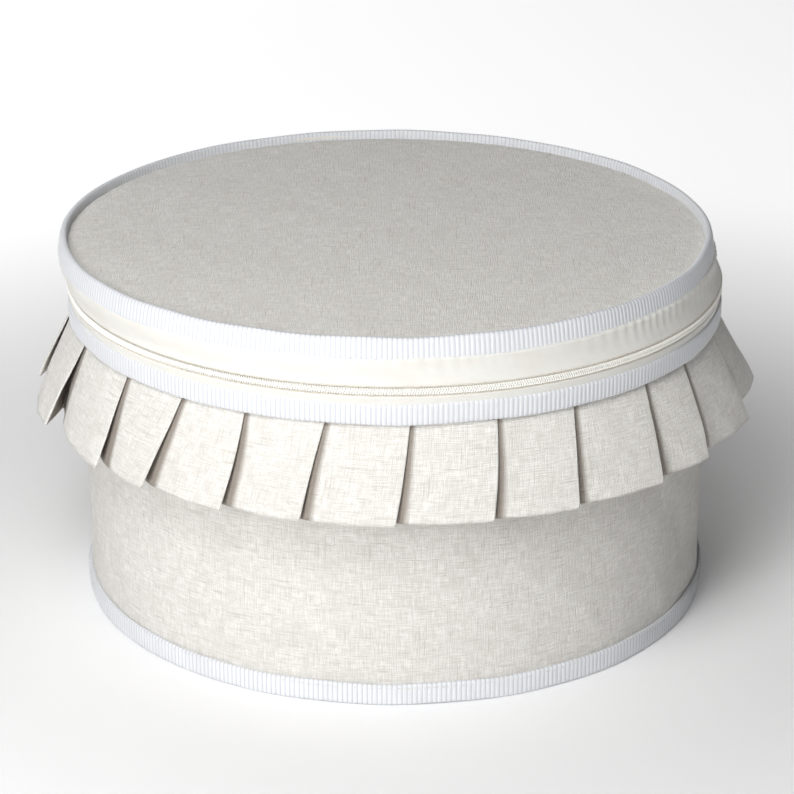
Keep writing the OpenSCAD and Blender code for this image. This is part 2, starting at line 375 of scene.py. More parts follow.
def ribbon(name, tone):
    """White grosgrain, with painted shade that makes it bluish and darker between its ribs."""
    white = (0.735 * tone, 0.745 * tone, 0.765 * tone)
    tree = Tree(name, white, 0.6)
    uv = tree.cloth_uv()
    xyz = tree.add("ShaderNodeSeparateXYZ", {0: uv})
    fine = tree.math("SINE", tree.math("MULTIPLY", xyz.outputs[1], 2 * math.pi / (0.38 * MM)))
    fibre = tree.noise(tree.scaled(uv, 1 / (0.25 * MM), 1 / (2.5 * MM)), detail=2.0)
    soil = tree.noise(uv, 1 / (16 * MM), 3.0)
    shade = tree.mix(tree.step(soil, 0.45, 0.75, 0, 0.5), white, (0.76, 0.76, 0.76))
    shade = tree.mix(tree.step(fibre, 0.5, 0.75, 0, 0.35), shade, (0.68, 0.70, 0.73))
    # Painted shade: the grooves between the ribs are darker and bluish.
    across = tree.math("COSINE", tree.math("MULTIPLY", xyz.outputs[0], math.pi / RIB_PITCH))
    crest = tree.math("ABSOLUTE", across)
    shade = tree.mix(tree.step(crest, 0.0, 0.62, 0.65, 0), shade, (0.45, 0.49, 0.56))
    tree.feed("Base Color", shade)
    height = tree.math("ADD", tree.math("MULTIPLY", fine, 0.35), fibre)
    tree.bump(height, 0.06 * MM, 0.7)
    tree.feed("Roughness", tree.step(fibre, 0.3, 0.7, 0.5, 0.68))
    tree.set(tree.shader, {"Sheen Weight": 0.1, "Sheen Roughness": 0.4, "Specular IOR Level": 0.35})
    return tree.material


def zip_tape():
    """Cream herringbone tape."""
    cream = (0.79, 0.785, 0.745)
    tree = Tree("zip_tape", cream, 0.7)
    uv = tree.cloth_uv()
    xyz = tree.add("ShaderNodeSeparateXYZ", {0: uv})
    row = tree.math("FLOOR", tree.math("MULTIPLY", xyz.outputs[1], 1 / (1.6 * MM)))
    side = tree.math("SUBTRACT", tree.math("MULTIPLY", tree.math("PINGPONG", row, 1.0), 2.0), 1.0)
    skew = tree.math("MULTIPLY", xyz.outputs[1], side)
    slope = tree.math("ADD", xyz.outputs[0], skew)
    twill = tree.math("SINE", tree.math("MULTIPLY", slope, 2 * math.pi / (0.55 * MM)))
    cloud = tree.noise(tree.scaled(uv, 1 / (14 * MM), 1 / (5 * MM)), detail=3.0)
    shade = tree.mix(tree.step(cloud, 0.35, 0.7), cream, (0.775, 0.755, 0.705))
    shade = tree.mix(tree.step(twill, -1, 0, 0.14, 0.0), shade, (0.70, 0.67, 0.61))
    tree.feed("Base Color", shade)
    tree.bump(twill, 0.05 * MM, 0.5)
    tree.feed("Roughness", tree.step(cloud, 0.3, 0.7, 0.62, 0.74))
    tree.set(tree.shader, {"Sheen Weight": 0.08, "Specular IOR Level": 0.3})
    return tree.material


def nylon():
    """Off-white nylon, a little hazy."""
    white = (0.93, 0.92, 0.87)
    tree = Tree("nylon_coil", white, 0.42)
    uv = tree.cloth_uv()
    haze = tree.noise(uv, 1 / (3 * MM), 3.0)
    shade = tree.mix(tree.step(haze, 0.4, 0.7), white, (0.89, 0.87, 0.81))
    tree.feed("Base Color", shade)
    tree.bump(haze, 0.03 * MM, 0.3)
    tree.feed("Roughness", tree.step(haze, 0.3, 0.7, 0.32, 0.46))
    return tree.material


def thread(name, color):
    """Sewing thread with a faint ply."""
    tree = Tree(name, color, 0.75)
    place = tree.add("ShaderNodeTexCoord").outputs["Object"]
    ply = tree.noise(place, 1 / (0.5 * MM), 2.0)
    shade = tree.mix(tree.step(ply, 0.35, 0.7), color, tuple(0.72 * c for c in color))
    tree.feed("Base Color", shade)
    tree.bump(ply, 0.05 * MM, 0.5)
    return tree.material


def cotton(name, color, pitch):
    """Plain cotton with threads a pitch apart."""
    tree = Tree(name, color, 0.85)
    uv = tree.cloth_uv()
    weave = tree.plain_weave(uv, pitch, 0.2 * MM)
    cloud = tree.noise(uv, 1 / (30 * MM), 4.0)
    shade = tree.mix(tree.step(cloud, 0.35, 0.7), color, tuple(0.94 * c for c in color))
    shade = tree.mix(tree.step(weave, 0.1, 0.7, 0.5, 0.0), shade, tuple(0.86 * c for c in color))
    tree.feed("Base Color", shade)
    tree.bump(weave, 0.06 * MM, 0.5)
    tree.set(tree.shader, {"Sheen Weight": 0.1, "Specular IOR Level": 0.25})
    return tree.material


def greyboard():
    """Brown pulp board."""
    tree = Tree("board", (0.45, 0.39, 0.30), 0.95)
    place = tree.add("ShaderNodeTexCoord").outputs["Object"]
    pulp = tree.noise(place, 1 / (1.2 * MM), 5.0, 0.7)
    shade = tree.mix(tree.step(pulp, 0.35, 0.7), (0.50, 0.43, 0.33), (0.33, 0.28, 0.21))
    tree.feed("Base Color", shade)
    tree.bump(pulp, 0.15 * MM, 0.6)
    return tree.material


def nickel():
    """Finely brushed nickel with soft wear."""
    tree = Tree("nickel", (0.72, 0.715, 0.70), 0.24)
    place = tree.add("ShaderNodeTexCoord").outputs["Object"]
    wear = tree.noise(place, 1 / (3 * MM), 2.0, 0.5)
    brushed = tree.noise(tree.scaled(place, 1 / (4 * MM), 1 / (4 * MM), 1 / (0.08 * MM)), detail=2.0)
    shade = tree.mix(tree.step(wear, 0.4, 0.7), (0.70, 0.695, 0.68), (0.64, 0.635, 0.62))
    tree.feed("Base Color", shade)
    tree.feed("Roughness", tree.step(wear, 0.35, 0.7, 0.24, 0.32))
    tree.bump(brushed, 0.0015 * MM, 0.4)
    tree.set(tree.shader, {"Metallic": 1.0})
    return tree.material


LINEN = linen("linen", 1.0)
# The top's and the skirt's linen are slightly darker copies: painted shade, for how the lamps fall on them.
LINEN_TOP_PAINTED_SHADE = linen("linen_top_painted_shade", 0.99)
LINEN_SKIRT_PAINTED_SHADE = linen("linen_skirt_painted_shade", 0.97)
RIBBON = ribbon("ribbon", 1.0)
# The bottom ribbon is a lighter copy: painted light, because the lamps leave that edge darker.
RIBBON_LOW_PAINTED_LIGHT = ribbon("ribbon_low_painted_light", 1.13)
ZIP_TAPE = zip_tape()
NYLON = nylon()
WHITE_THREAD = thread("white_thread", (0.84, 0.84, 0.82))
TAN_THREAD = thread("tan_thread", (0.72, 0.665, 0.575))
LINING = cotton("lining", (0.82, 0.78, 0.70), 0.42 * MM)
SEAM_TAPE = cotton("seam_tape", (0.86, 0.85, 0.81), 0.55 * MM)
PIPING = cotton("piping", (0.80, 0.77, 0.71), 0.8 * MM)
BOARD = greyboard()
NICKEL = nickel()


# ---------------------------------------------------------------- ribbon edges

def ribbed(radius, tall, seed):
    """A ribbon's shape, run and columns: rounded cords cross it, and the whole edge wanders a little."""
    sway = 0.22 * MM
    columns_per_rib = 6
    ribs = int(2 * math.pi * radius / RIB_PITCH)

    def along(a):
        return (ribs * a + 0.35 * ripple(a, 0.0, seed + 1, waves=(3, 40))) / (2 * math.pi) * RIB_PITCH

    def shape(a, r, z):
        middle_r, middle_z = r.mean(), z.mean()
        cord = np.abs(np.cos(math.pi * along(a) / RIB_PITCH)) ** 0.8
        out_r, out_z = r - middle_r, (z - middle_z) * 0.6
        reach = np.hypot(out_r, out_z)
        lift = 0.2 * MM * (cord - 0.7) * tall
        wander_r = sway * ripple(a, 0.0, seed, waves=(2, 18))
        wander_z = sway * ripple(a, 0.0, seed + 2, waves=(2, 22))
        return r + lift * out_r / reach + wander_r, z + lift * out_z / reach + wander_z

    return shape, along, ribs * columns_per_rib


def fold_section(r0, r1, z0, z1, crown, foot):
    """A ribbon folded round a cord: round on the crown side, pressed flatter at its stitched foot."""
    t = np.linspace(0, 2 * math.pi, 26, endpoint=False)
    c, s = np.cos(t), np.sin(t)
    half_w, half_h = (r1 - r0) / 2, (z1 - z0) / 2
    power = np.where(s > 0, crown, foot)
    r = (r0 + r1) / 2 + half_w * np.sign(c) * np.abs(c) ** power
    z = (z0 + z1) / 2 + half_h * np.sign(s) * np.abs(s) ** power
    return r, z


def leaned_section(r0, r1, z0, z1, tilt):
    """The same fold, its outer face leaning in by tilt towards the top."""
    r, z = fold_section(r0, r1, z0, z1, 0.62, 0.36)
    share = (z - z0) / (z1 - z0)
    outside = np.clip((r - r0) / (r1 - r0), 0, 1)
    return r - tilt * share * outside, z


def ribbon_ring(name, body, node, section, seed):
    shape, along, columns = ribbed(max(section[0]), 1.0, seed)
    obj = ring(name, *section, columns=columns, shape=shape, along=along)
    if body == "lid":
        lean_piece(obj)
    finish_piece(obj, body, RIBBON, "ribbon", node)


ribbon_ring("lid_ribbon", "lid", "lid_binding",
            leaned_section(HEADING_R - 0.4 * MM, RIM_R, LID_EDGE_Z, CASE_H, 1.3 * MM), 11)
ribbon_ring("rim_ribbon", "base", "rim_binding",
            fold_section(HEADING_R + 0.1 * MM, RIM_R, RIM_LOW_Z, RIM_TOP_Z, 0.38, 0.42), 23)


def bottom_ribbon():
    """Wraps the bottom corner: up the wall outside and in under the bottom panel."""
    outer, top = BOTTOM_BINDING_R, BOTTOM_BINDING_H
    inner = outer - 8 * MM
    bend = np.linspace(0, math.pi / 2, 6)
    corner = 1.6 * MM
    r = np.concatenate([[WALL_R - 0.3 * MM, WALL_R + 0.2 * MM, outer - 0.35 * MM, outer],
                        outer - corner + corner * np.cos(bend), [inner, inner - 0.2 * MM, inner + 0.2 * MM],
                        [WALL_R - 0.8 * MM, WALL_R - 0.3 * MM]])
    z = np.concatenate([[top - 0.9 * MM, top - 0.1 * MM, top, top - 1.0 * MM],
                        corner - corner * np.sin(bend), [0.0, 0.45 * MM, 0.9 * MM],
                        [1.0 * MM, 2.0 * MM]])
    shape, along, columns = ribbed(outer, 0.75, 37)

    def grounded(a, rr, zz):
        rr, zz = shape(a, rr, zz)
        return rr, np.maximum(zz, 0.0)

    obj = ring("bottom_ribbon", r, z, columns=columns, shape=grounded, along=along)
    finish_piece(obj, "base", RIBBON_LOW_PAINTED_LIGHT, "ribbon", "bottom_binding")


bottom_ribbon()


def piping_cord(name, body, node):
    """The round cord inside a ribbon, a little smaller than its CAD ring."""
    cord_low, cord_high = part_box(node)
    middle_z = (cord_low.z + cord_high.z) / 2
    half = (cord_high.z - cord_low.z) / 2
    turn = np.linspace(0, 2 * math.pi, 12, endpoint=False)
    cord = ring(name, cord_high.x - 1.9 * half + 0.85 * half * np.cos(turn),
                middle_z + 0.85 * half * np.sin(turn), columns=240)
    if body == "lid":
        lean_piece(cord)
    finish_piece(cord, body, PIPING, "piping", node)


piping_cord("lid_cord", "lid", "lid_piping")
piping_cord("rim_cord", "base", "rim_piping")


# ---------------------------------------------------------------- linen of the lid, the wall and the bottom

def lid_panel():
    """The linen over the lid: slightly crowned, with soft waves, and small puckers near its edge."""
    edge = HEADING_R + 0.6 * MM

    def level(a, r):
        share = r / edge
        crown = 1.0 * MM * (1 - share ** 2) ** 0.5
        dip = -0.9 * MM * np.clip((share - 0.93) / 0.07, 0, 1) ** 2
        waves = 0.2 * MM * ripple(a, r, 51, waves=(1, 6), runs=(2, 16)) * share
        near_edge = np.clip((share - 0.85) / 0.15, 0, 1)
        puckers = 0.12 * MM * ripple(a, r, 52, waves=(30, 70), runs=(0, 4)) * near_edge
        return PANEL_TOP_Z - 0.4 * MM + crown + dip + waves * (1 - share ** 8) + puckers

    obj = disc("lid_panel", edge, level, rings=70, columns=420)
    lean_piece(obj)
    thicken(obj, 0.7 * MM)
    finish_piece(obj, "lid", LINEN_TOP_PAINTED_SHADE, "linen", "lid_top_panel")


lid_panel()


def lid_stiffener():
    board_low, board_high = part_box("lid_board")
    inset = 0.1 * MM
    obj = disc("lid_stiffener", board_high.x, lambda a, r: board_high.z - inset + 0 * r, rings=8, columns=180)
    lean_piece(obj)
    thicken(obj, board_high.z - board_low.z - 2 * inset)
    finish_piece(obj, "lid", BOARD, "board", "lid_board")


lid_stiffener()


def wall_cloth():
    """The linen round the wall, with a little slack and a few creases. Its ends meet at the back."""
    rows, columns = 60, 540
    a = np.linspace(-math.pi, math.pi, columns + 1)[:, None]
    z = np.linspace(1.2 * MM, RIM_LOW_Z + 4 * MM, rows)[None, :]
    ends = np.clip(z / (12 * MM), 0, 1)
    slack = 0.22 * MM * ripple(a, z, 61, waves=(2, 20), runs=(4, 30)) * ends
    creases = 0.10 * MM * ripple(a, z, 62, waves=(20, 60), runs=(5, 60)) * ends
    seam = 0.25 * MM * np.exp(-((np.abs(a) - math.pi) * WALL_R / (5 * MM)) ** 2)
    off_seam = np.clip((math.pi - np.abs(a)) / 0.2, 0, 1)
    r = WALL_R + slack * off_seam + creases * off_seam + seam
    uv = np.stack(np.broadcast_arrays(a * WALL_R, z), axis=-1)
    obj = grid("wall_cloth", at(a, r, z), uv)
    thicken(obj, 0.8 * MM)
    finish_piece(obj, "base", LINEN, "linen", "wall_linen")


def back_seam():
    """The lap of the wall's cloth over its own end, down the back."""
    lap_a = math.pi + np.linspace(-1, 1, 9)[:, None] * 5.5 * MM / WALL_R
    lap_z = np.linspace(3 * MM, RIM_LOW_Z + 2 * MM, 40)[None, :]
    rise = 0.75 * MM * np.array([0.2, 0.75, 1, 1.05, 1, 1, 0.95, 0.7, 0.15])[:, None]
    lap_r = WALL_R + rise + 0.06 * MM * ripple(lap_a, lap_z, 63, runs=(10, 60))
    lap_uv = np.stack(np.broadcast_arrays(lap_a * WALL_R + 0.3, lap_z + 0.17), axis=-1)
    lap = thicken(grid("wall_back_seam", at(lap_a, lap_r, lap_z), lap_uv), 0.5 * MM)
    finish_piece(lap, "base", LINEN, "linen")


wall_cloth()
back_seam()


def underside():
    """The linen under the box, which turns up a little where the ribbon covers its edge."""
    edge = BOTTOM_BINDING_R - 6.8 * MM

    def level(a, r):
        share = r / edge
        tuck = 1.5 * MM * np.clip((share - 0.955) / 0.045, 0, 1) ** 2
        waves = 0.14 * MM * np.abs(ripple(a, r, 71, waves=(1, 5), runs=(2, 14)))
        return 0.12 * MM + tuck + waves * share * (1 - share ** 6)

    obj = disc("bottom_cloth", edge, level, rings=50, columns=300, up=False)
    thicken(obj, 0.6 * MM)
    finish_piece(obj, "base", LINEN, "linen", "bottom_panel")


underside()


# ---------------------------------------------------------------- pleated skirt

PLEATS = 25
PLEAT_CLOTH = 56.0 * MM
# The front folds from left to right: degrees off the even spacing, degrees of lean, how far each stands out
# and how many millimetres lower its hem hangs.
FRONT_FOLDS = (
    (-7.5, 0.0, 0.7, 0.0), (0.5, -2.0, 2.5, 0.8), (3.5, 0.5, 1.5, 0.0), (3.0, -3.0, 1.6, 0.2),
    (1.0, -1.0, 1.4, 0.3), (0.5, -2.5, 0.9, -0.2), (0.0, -2.5, 0.8, 0.3), (0.0, -2.5, 0.9, 0.0),
    (-0.5, -3.0, 1.2, 0.3), (1.0, -3.0, 1.8, 0.4), (-1.5, -3.0, 2.2, 0.0), (0.0, -1.5, 2.4, 0.2),
    (-0.5, -0.5, 2.4, -2.6),
)
# The last folds come round to the far left, next to the first front fold: degrees off the even spacing.
LAST_OFFSETS = (-2.6, -5.2, -8.4)
MIDDLE_FOLD = math.radians(2.4)
FACE_BEND = 1.35
HEM_CLOTH = 0.95 * MM


def pleat_lines(t):
    """The angle of each pleat's fold at each fraction t of the drop, how far it stands out, and its droop."""
    rng = np.random.default_rng(7)
    spread = 2 * math.pi / PLEATS
    offset = rng.uniform(-1.6, 1.6, PLEATS)
    slant = rng.uniform(-3.6, 0.6, PLEATS)
    stand = rng.uniform(0.9, 1.9, PLEATS)
    front = len(FRONT_FOLDS)
    droop = rng.uniform(-0.5, 0.5, PLEATS)
    curl = np.radians(rng.uniform(-0.5, 0.5, PLEATS))
    offset[-len(LAST_OFFSETS):] += LAST_OFFSETS
    slant[-1], stand[-1] = -0.5, 0.9
    offset[:front], slant[:front], stand[:front], droop[:front] = np.array(FRONT_FOLDS).T
    start = MIDDLE_FOLD + spread * (np.arange(PLEATS) - front // 2) + np.radians(offset)
    bow = curl[:, None] * np.sin(math.pi * t)[None, :]
    folds = start[:, None] + np.radians(slant)[:, None] * t[None, :] + bow
    return folds, stand, droop * MM


def skirt():
    """Knife pleats all round.

    Each pleat is a face, which runs from under the fold before it out to its own fold, a rounded fold, a
    panel that goes back behind the face, and the turn into the next face. Points are columns down the cloth.
    """
    rows = 30
    t = np.linspace(-0.10, 1.0, rows)
    fall = np.clip(t, 0, 1)
    folds, stand, droop = pleat_lines(fall)
    top_z = RIM_LOW_Z - 0.1 * MM
    drop = top_z - HEM_Z - 1.2 * MM
    top_r, hem_r = RIM_R - 1.7 * MM, HEM_R - 1.6 * MM
    out_r = top_r + (hem_r - top_r) * (1 - (1 - fall) ** 1.08)
    fold_r = 0.28 * MM + 0.27 * MM * fall
    turn_r = 0.6 * fold_r
    gaps = HEM_CLOTH + 2.5 * MM * stand[:, None] * fall ** 1.2
    hangs = top_z - t * drop - droop[:, None] * fall ** 2
    under = (PLEAT_CLOTH - 2 * math.pi * out_r / PLEATS) / 2
    befores = np.roll(folds, 1, axis=0)
    befores[0] -= 2 * math.pi
    face = (folds - befores) * out_r + under
    hidden_share = under / face

    # Painted shade darkens the cloth where a fold hides it, and further out on the right, away from the
    # light.
    # The fold at the far left opens towards the light, so its painted shade is weaker.
    painted_shade_depth = np.ones(PLEATS)
    painted_shade_depth[0] = 0.22
    lee_shade_reach = np.roll(gaps, 1, axis=0) * np.tan(np.clip(befores, 0, 1.05)) * (befores < 1.6)
    reaches = 1.25 * MM + 1.45 * MM * fall + np.clip(0.58 * lee_shade_reach, 0, 4.4 * MM)
    fade = 1.35 * MM + 1.15 * MM * fall

    # Fractions across a face, closer together where the shade ends, and across a back panel.
    even = 0.5 - 0.5 * np.cos(np.linspace(0, math.pi, 24))
    even = even[(even < 0.17) | (even > 0.48)]
    face_x = np.sort(np.concatenate([even, np.linspace(0.18, 0.47, 26)]))
    back_x = np.linspace(0, 1, 9)[1:-1]
    cap = np.linspace(0, math.pi, 7)[1:-1]
    columns = []
    for k in range(PLEATS):
        after = (k + 1) % PLEATS
        fold, hidden, gap_before = folds[k], hidden_share[k], gaps[k - 1]
        hang, hang_next = hangs[k], hangs[after]
        inner = fold - under / out_r
        inner_before = befores[k] - under / out_r
        depth = gaps[k] / (1 - hidden_share[after]) ** FACE_BEND
        for x in face_x:
            a = inner_before + (fold - inner_before) * x
            w = -gap_before * ((1 - x) / (1 - hidden)) ** FACE_BEND
            puff = 0.3 * MM * fall * math.sin(math.pi * x) ** 2
            # Painted shade on the face: darkest just past the fold before it, fading out across the face.
            shade = painted_shade_depth[k - 1] * np.clip(1 - ((x - hidden) * face[k] - reaches[k]) / fade, 0, 1)
            columns.append((a, out_r + w + puff, hang, shade))
        for c in cap:
            a = fold + fold_r * math.sin(c) / out_r
            # Painted shade on the back half of the fold's curve.
            shade = 0 * fall + painted_shade_depth[k] * max(0, c / 1.6 - 1)
            columns.append((a, out_r - fold_r * (1 - math.cos(c)), hang, shade))
        # The back panel and the turn behind it carry full painted shade.
        dark = 0 * fall + painted_shade_depth[k]
        for x in back_x:
            a = fold + (inner - fold) * x
            w = -2 * fold_r + (3.2 * fold_r - depth) * x
            columns.append((a, out_r + w, hang * (1 - x) + hang_next * x, dark))
        for c in cap:
            a = inner - turn_r * math.sin(c) / out_r
            columns.append((a, out_r - depth + turn_r * (1 + math.cos(c)), hang_next, dark))
    a, r, z, tuck = (np.array(values) for values in zip(*columns))
    loose = fall[None, :] ** 1.2
    r = r + 0.28 * MM * loose * ripple(a, z, 81, waves=(10, 60), runs=(10, 60))
    r = np.where(t[None, :] < 0, r - 1.2 * MM, r)
    points = at(a, r, z)
    cloth_drop = drop * 1.12
    runs = np.linalg.norm(np.diff(np.concatenate([points, points[:1]]), axis=0), axis=2).mean(axis=1)
    s = np.concatenate([[0], np.cumsum(runs)])
    uv = np.stack(np.broadcast_arrays(s[:, None], (t * cloth_drop)[None, :]), axis=-1)
    obj = grid("pleated_skirt", points, uv, wrap_u=True, flip=True)
    # The tuck attribute holds how strongly painted shade darkens each point.
    layer = obj.data.attributes.new("tuck", "FLOAT", "POINT")
    layer.data.foreach_set("value", tuck.astype(np.float32).ravel())
    hem = obj.vertex_groups.new(name="hem")
    weight = np.clip((t - 0.83) / 0.03, 0, 1)
    for j in range(rows):
        hem.add([i * rows + j for i in range(len(columns))], float(weight[j]), "REPLACE")
    thicken(obj, HEM_CLOTH, group="hem")
    finish_piece(obj, "base", LINEN_SKIRT_PAINTED_SHADE, "linen", "skirt")


skirt()


# ---------------------------------------------------------------- zip

def tape_band(name, body, node, a_end, z_low, z_high, puckers, bulge, seed):
    """A woven tape standing between its coil and the ribbon, softer and more gathered on the right.

    z_low(a) and z_high(a) are its edges. It is gathered at its top if puckers is positive, else at its foot.
    """
    columns, rows = 900, 34
    a = np.linspace(-a_end, a_end, columns + 1)[:, None]
    share = np.linspace(0, 1, rows)[None, :]
    z = z_low(a) + (z_high(a) - z_low(a)) * share
    soft = 0.18 * MM * ripple(a, z, seed, waves=(4, 30), runs=(5, 50))
    near_ribbon = share if puckers > 0 else 1 - share
    right = 0.35 + 0.65 * np.clip(np.sin(a + 0.35), 0, 1)
    patchy = right * np.clip(0.75 + 0.5 * ripple(a, 0.0, seed + 3, waves=(2, 9)), 0.2, 1.2)
    beat = np.sin(160 * a + 2.5 * ripple(a, 0.0, seed + 4, waves=(3, 20)))
    gather = abs(puckers) * patchy * near_ribbon ** 2 * np.sign(beat) * np.abs(beat) ** 1.4
    swell = bulge * right * near_ribbon ** 1.5 * np.clip((1 - near_ribbon) * 9, 0, 1) ** 0.5
    off_coil = np.abs(z - ZIP_Z)
    lip = 0.62 * MM * np.clip((off_coil - 1.35 * MM) / (0.6 * MM), 0, 1)
    lip *= np.exp(-((off_coil - 2.0 * MM) / (1.8 * MM)) ** 2)
    r = TAPE_R + soft * 0.4 + gather + swell + 0.2 * MM * near_ribbon + lip
    points = at(a, r, z)
    uv = np.stack(np.broadcast_arrays(a * TAPE_R, z), axis=-1)
    obj = thicken(grid(name, lean(points) if body == "lid" else points, uv), 0.55 * MM)
    finish_piece(obj, body, ZIP_TAPE, "zip_tape", node)


LID_TAPE_FOOT_Z = ZIP_Z + 0.05 * MM
NOTCH_TOP_Z = ZIP_Z + 1.5 * MM


def past_row_end(a):
    """0 along the lid's coil, 1 beyond its ends, where the slider parks."""
    share = np.clip((np.abs(a) - LID_ROW_END) / math.radians(1.4), 0, 1)
    return share ** 2 * (3 - 2 * share)


def lid_tape_low(a):
    """The lid's tape turns up at each end, over the slider's parking place."""
    return LID_TAPE_FOOT_Z + (NOTCH_TOP_Z - LID_TAPE_FOOT_Z) * past_row_end(a)


def base_tape_high(a):
    """The base's tape fills that notch from below."""
    return ZIP_Z - 0.05 * MM + 2.2 * MM * past_row_end(a)


tape_band("lid_tape", "lid", "lid_zip_tape", ZIP_END, lid_tape_low, lambda a: LID_EDGE_Z + 1.2 * MM + 0 * a,
          0.3 * MM, 1.7 * MM, 91)
tape_band("base_tape", "base", "base_zip_tape", ZIP_END, lambda a: RIM_TOP_Z - 1.2 * MM + 0 * a,
          base_tape_high, -0.08 * MM, 0.0, 97)


def coil_row(name, body, node, a_end, side):
    """One nylon coil: a flattened helix whose heads reach in between those of the other row."""
    pitch = 0.86 * MM
    wire = 0.33 * MM
    reach = 0.46 * MM
    off_centre = 0.54 * MM
    points_per_turn = 8
    turns = int(2 * a_end * TAPE_R / pitch)
    t = np.linspace(0, turns, turns * points_per_turn + 1)
    phase = 2 * math.pi * t + (0 if side > 0 else math.pi)
    a = -a_end + t * pitch / TAPE_R
    swing = np.cos(phase)
    z = ZIP_Z + side * off_centre + side * reach * swing
    r = TAPE_R + 0.55 * MM + 0.3 * MM * np.sin(phase)
    path = at(a, r, z)
    forward = np.gradient(path, axis=0)
    forward /= np.linalg.norm(forward, axis=1)[:, None]
    out = at(a, 1.0, 0.0)
    across = np.cross(forward, out)
    across /= np.linalg.norm(across, axis=1)[:, None]
    out = np.cross(across, forward)
    head = 1 + 0.35 * np.clip(-swing - 0.6, 0, 1) * 2
    obj = tube(name, path, across, out, wire * head, wire * 0.9)
    finish_piece(obj, body, NYLON, "zip_coil", node)


coil_row("lid_coil", "lid", "lid_zip_coil", LID_ROW_END - math.radians(1), 1)
coil_row("base_coil", "base", "base_zip_coil", TAB_ANGLE, -1)


def coil_thread(name, body, a_end, z, thick):
    """The thread that sews a coil to its tape, seen as a fine line beside it."""
    stitch = 2.2 * MM
    a = np.linspace(-a_end, a_end, 1500)
    beat = np.abs(np.sin(a * TAPE_R / stitch * math.pi))
    path = at(a, TAPE_R + 0.22 * MM + 0.12 * MM * beat, z)
    out = at(a, 1.0, 0.0)
    rise = np.broadcast_to(np.array([0, 0, 1.0]), out.shape)
    obj = tube(name, path, rise, out, thick * (0.75 + 0.35 * beat), thick * 0.8)
    finish_piece(obj, body, TAN_THREAD, "zip_tape")


coil_thread("lid_coil_thread", "lid", LID_ROW_END - math.radians(1.2), ZIP_Z + 1.62 * MM, 0.4 * MM)
coil_thread("base_coil_thread", "base", TAB_ANGLE, ZIP_Z - 1.62 * MM, 0.36 * MM)


# ---------------------------------------------------------------- cloth hinge

def hinge():
    """The cloth that holds the lid to the base at the back, between the ends of the zip."""
    columns, rows = 90, 34
    a = math.pi + np.linspace(-HINGE_HALF, HINGE_HALF, columns + 1)[:, None]
    z_low, z_high = RIM_TOP_Z - 1.4 * MM, LID_EDGE_Z + 1.6 * MM
    share = np.linspace(0, 1, rows)[None, :]
    z = z_low + (z_high - z_low) * share + 0 * a
    soft = 0.25 * MM * ripple(a, z, 103, waves=(6, 40), runs=(10, 80))
    middle = np.sin(math.pi * share)
    r = TAPE_R + 0.55 * MM + 0.35 * MM * middle + soft * middle
    points = lean(at(a, r, z))
    uv = np.stack(np.broadcast_arrays(a * TAPE_R, z), axis=-1)
    obj = thicken(grid("cloth_hinge", points, uv), 0.7 * MM)
    obj.data.materials.append(LINEN)
    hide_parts("hinge_panel")
    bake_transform(obj)


hinge()


def end_tab(name, side):
    """A folded scrap of linen over one end of the zip."""
    columns, rows = 20, 26
    half_w = 2.6
    a = side * TAB_ANGLE + np.linspace(-half_w, half_w, columns + 1)[:, None] * MM / TAPE_R
    share = np.linspace(0, 1, rows)[None, :]
    z_low, z_high = RIM_TOP_Z - 0.6 * MM, high("zip_end_tabs").z
    rim = np.minimum(np.minimum(share, 1 - share) * 6, 1)
    soft = 0.08 * MM * ripple(a, share, 109, waves=(20, 90), runs=(1, 5))
    r = TAPE_R + 0.5 * MM + 0.75 * MM * rim + soft
    z = z_low + (z_high - z_low) * share + 0 * a
    uv = np.stack(np.broadcast_arrays(a * TAPE_R, z), axis=-1)
    tab = thicken(grid(name, at(a, r, z), uv), 0.7 * MM)
    finish_piece(tab, "base", LINEN, "linen", "zip_end_tabs")


end_tab("end_tab_right", 1)
end_tab("end_tab_left", -1)


# ---------------------------------------------------------------- inside

def lining_wall():
    """The cotton lining of the wall, closed by one seam at the back."""
    a = np.linspace(-math.pi, math.pi, 361)[:, None]
    z = np.linspace(FLOOR_LINING_Z - 0.5 * MM, high("wall_lining").z, 40)[None, :]
    inner = INNER_R + 0.1 * MM
    r = inner + 0.1 * MM + 0.12 * MM * ripple(a, z, 121, waves=(2, 24), runs=(4, 30))
    uv = np.stack(np.broadcast_arrays(a * inner, z), axis=-1)
    obj = thicken(grid("lining_wall", at(a, r, z), uv, flip=True), 0.4 * MM)
    finish_piece(obj, "base", LINING, "lining", "wall_lining")


def lining_disc(name, body, node, radius, z, up, seed):
    """The lining of the floor, facing up, or of the lid, facing down."""
    def level(a, r):
        share = r / radius
        waves = (0.25 if up else -0.25) * MM * ripple(a, r, seed, waves=(1, 7), runs=(2, 16))
        return z + waves * share * (1 - share ** 6)

    obj = thicken(disc(name, radius, level, rings=36, columns=220, up=up), 0.4 * MM)
    if body == "lid":
        lean_piece(obj)
    finish_piece(obj, body, LINING, "lining", node)


lining_wall()
lining_disc("lining_floor", "base", "bottom_lining", INNER_R, FLOOR_LINING_Z + 0.1 * MM, True, 131)
lining_disc("lining_lid", "lid", "lid_lining", HEADING_R - 0.2 * MM, LID_LINING_Z - 0.1 * MM, False, 137)


